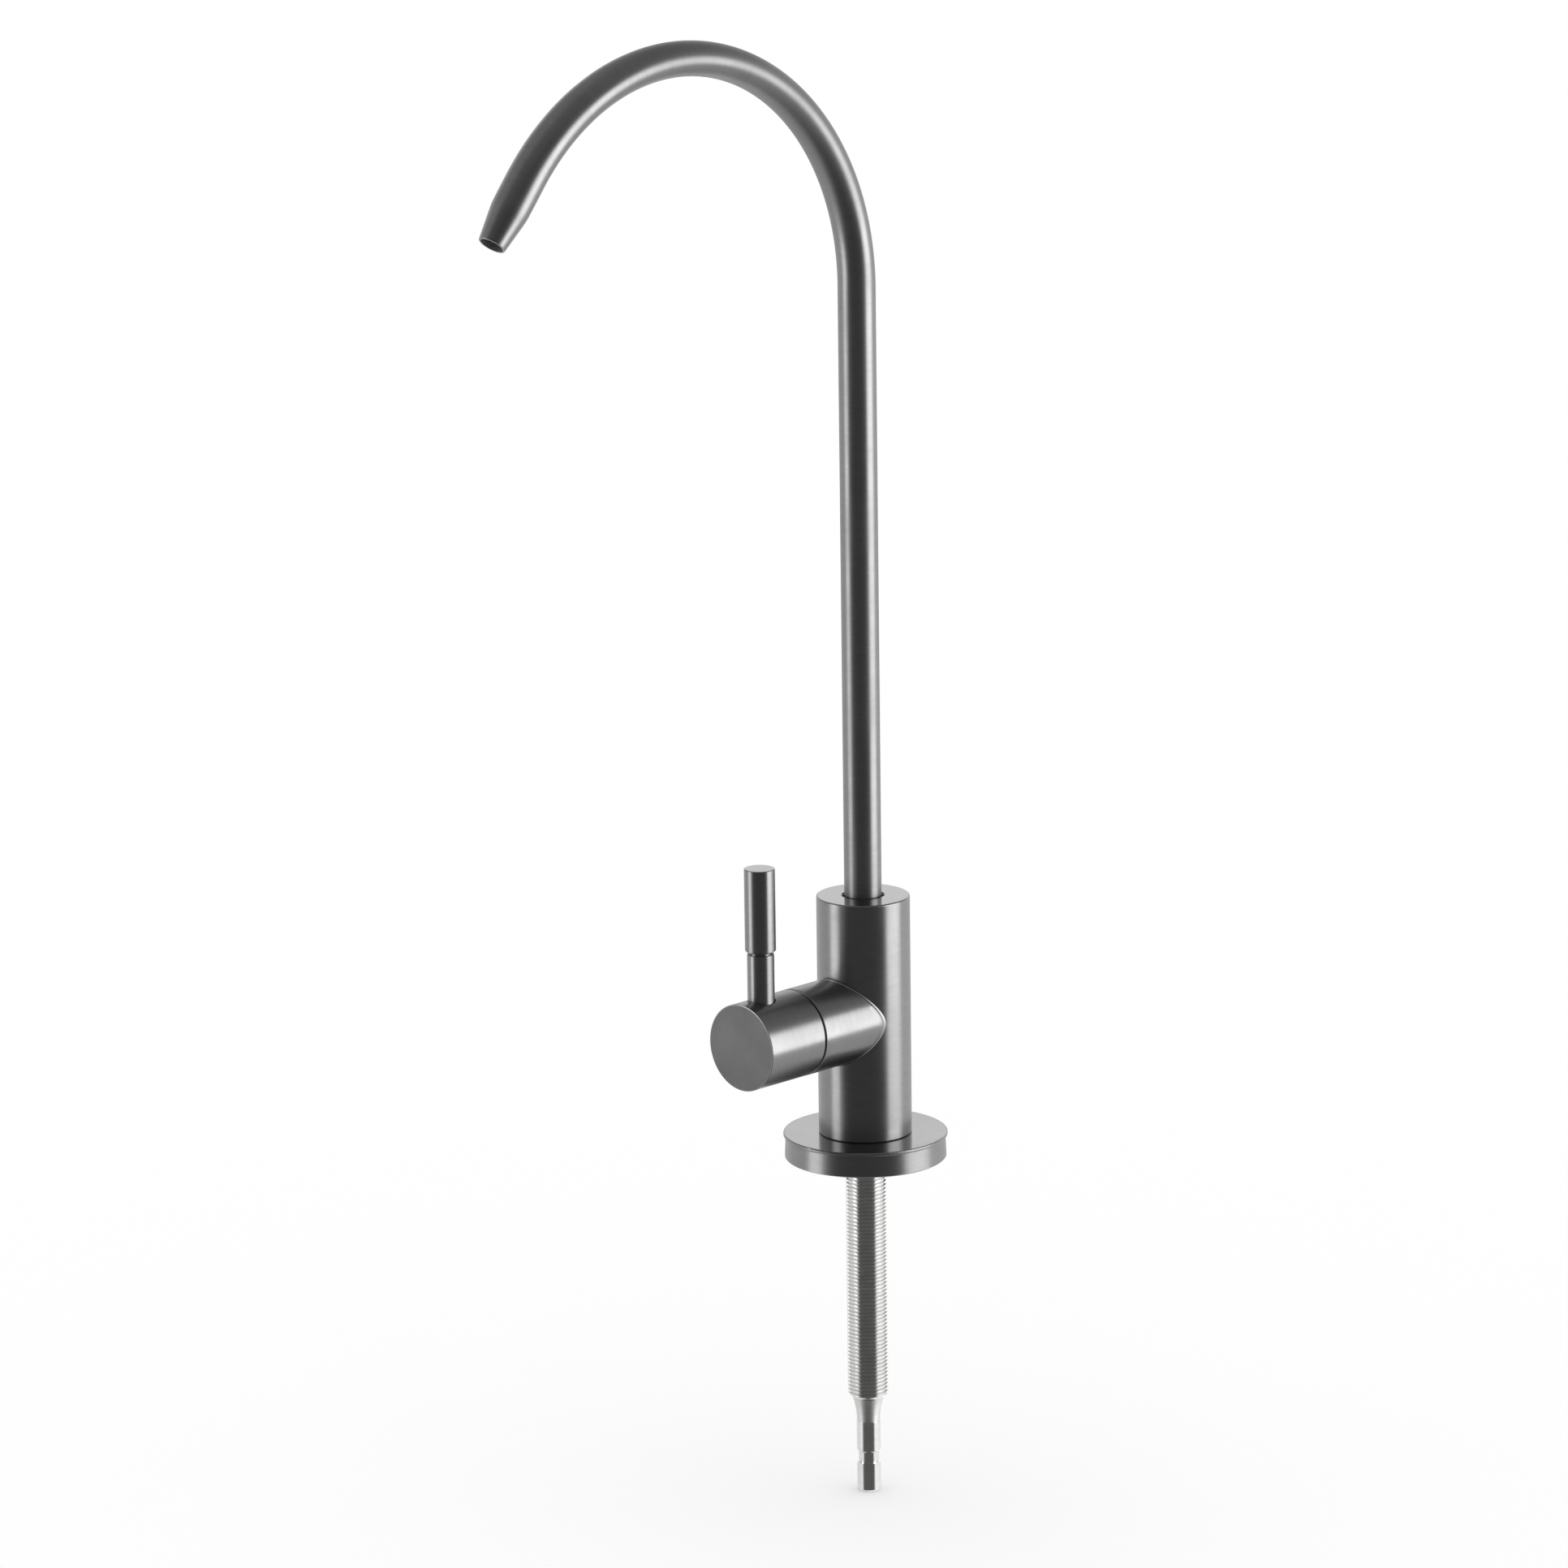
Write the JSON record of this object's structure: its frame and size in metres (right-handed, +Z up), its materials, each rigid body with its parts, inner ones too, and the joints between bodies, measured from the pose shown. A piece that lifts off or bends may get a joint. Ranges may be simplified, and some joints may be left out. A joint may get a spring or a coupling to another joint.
{
  "type": "drinking water filter tap",
  "caption": "Slim drinking water tap: upright round body on a base plate, side hub with a turning lever, arched swivel spout, and a threaded shank with a push-fit stem below.",
  "frame": {"origin": "on the body's axis at the deck surface, under the base plate", "axes": "+Z up along the body and the spout's riser; the side branch, the handle and the spout's arch point along -Y; the shank hangs along -Z"},
  "size_m": [0.0442, 0.1556, 0.403],
  "materials": {
    "brushed_gunmetal": "fine circumferential brushing, dark gunmetal grey",
    "plain_steel": "turned, uncoated",
    "brass": "turned",
    "black_rubber": "moulded, matt",
    "black_plastic": "moulded, satin",
    "white_plastic": "moulded, satin",
    "white_ceramic": "lapped"
  },
  "bodies": {
    "tap_body": {"valve_body": "brushed_gunmetal", "side_branch": "brushed_gunmetal", "base_plate": "brushed_gunmetal", "base_gasket": "black_rubber", "threaded_shank": "plain_steel", "shank_o_ring": "black_rubber", "seat_seal": "black_rubber", "fixed_disc": "white_ceramic", "cartridge_housing": "brass", "cartridge_o_ring": "black_rubber", "spout_snap_ring": "white_plastic", "spout_guide_bush": "black_plastic"},
    "handle": {"handle_hub": "brushed_gunmetal", "lever_stem": "brushed_gunmetal", "lever_grip": "brushed_gunmetal", "spindle": "brass", "spindle_inner_o_ring": "black_rubber", "spindle_outer_o_ring": "black_rubber", "thrust_washer": "white_plastic", "stop_ring": "brass", "spindle_circlip": "plain_steel", "moving_disc": "white_ceramic"},
    "spout": {"spout_tube": "brushed_gunmetal", "spout_collar": "brass", "spout_lower_o_ring": "black_rubber", "spout_upper_o_ring": "black_rubber"}
  },
  "joints": [
    {"name": "handle_turn", "type": "hinge", "parent": "tap_body", "child": "handle", "pos_m": [0, 0, 0.0397], "axis": [0, -1, 0], "range_deg": [0, 90]},
    {"name": "spout_swivel", "type": "hinge", "parent": "tap_body", "child": "spout", "pos_m": [0, 0, 0.06], "axis": [0, 0, 1], "continuous": true}
  ]
}
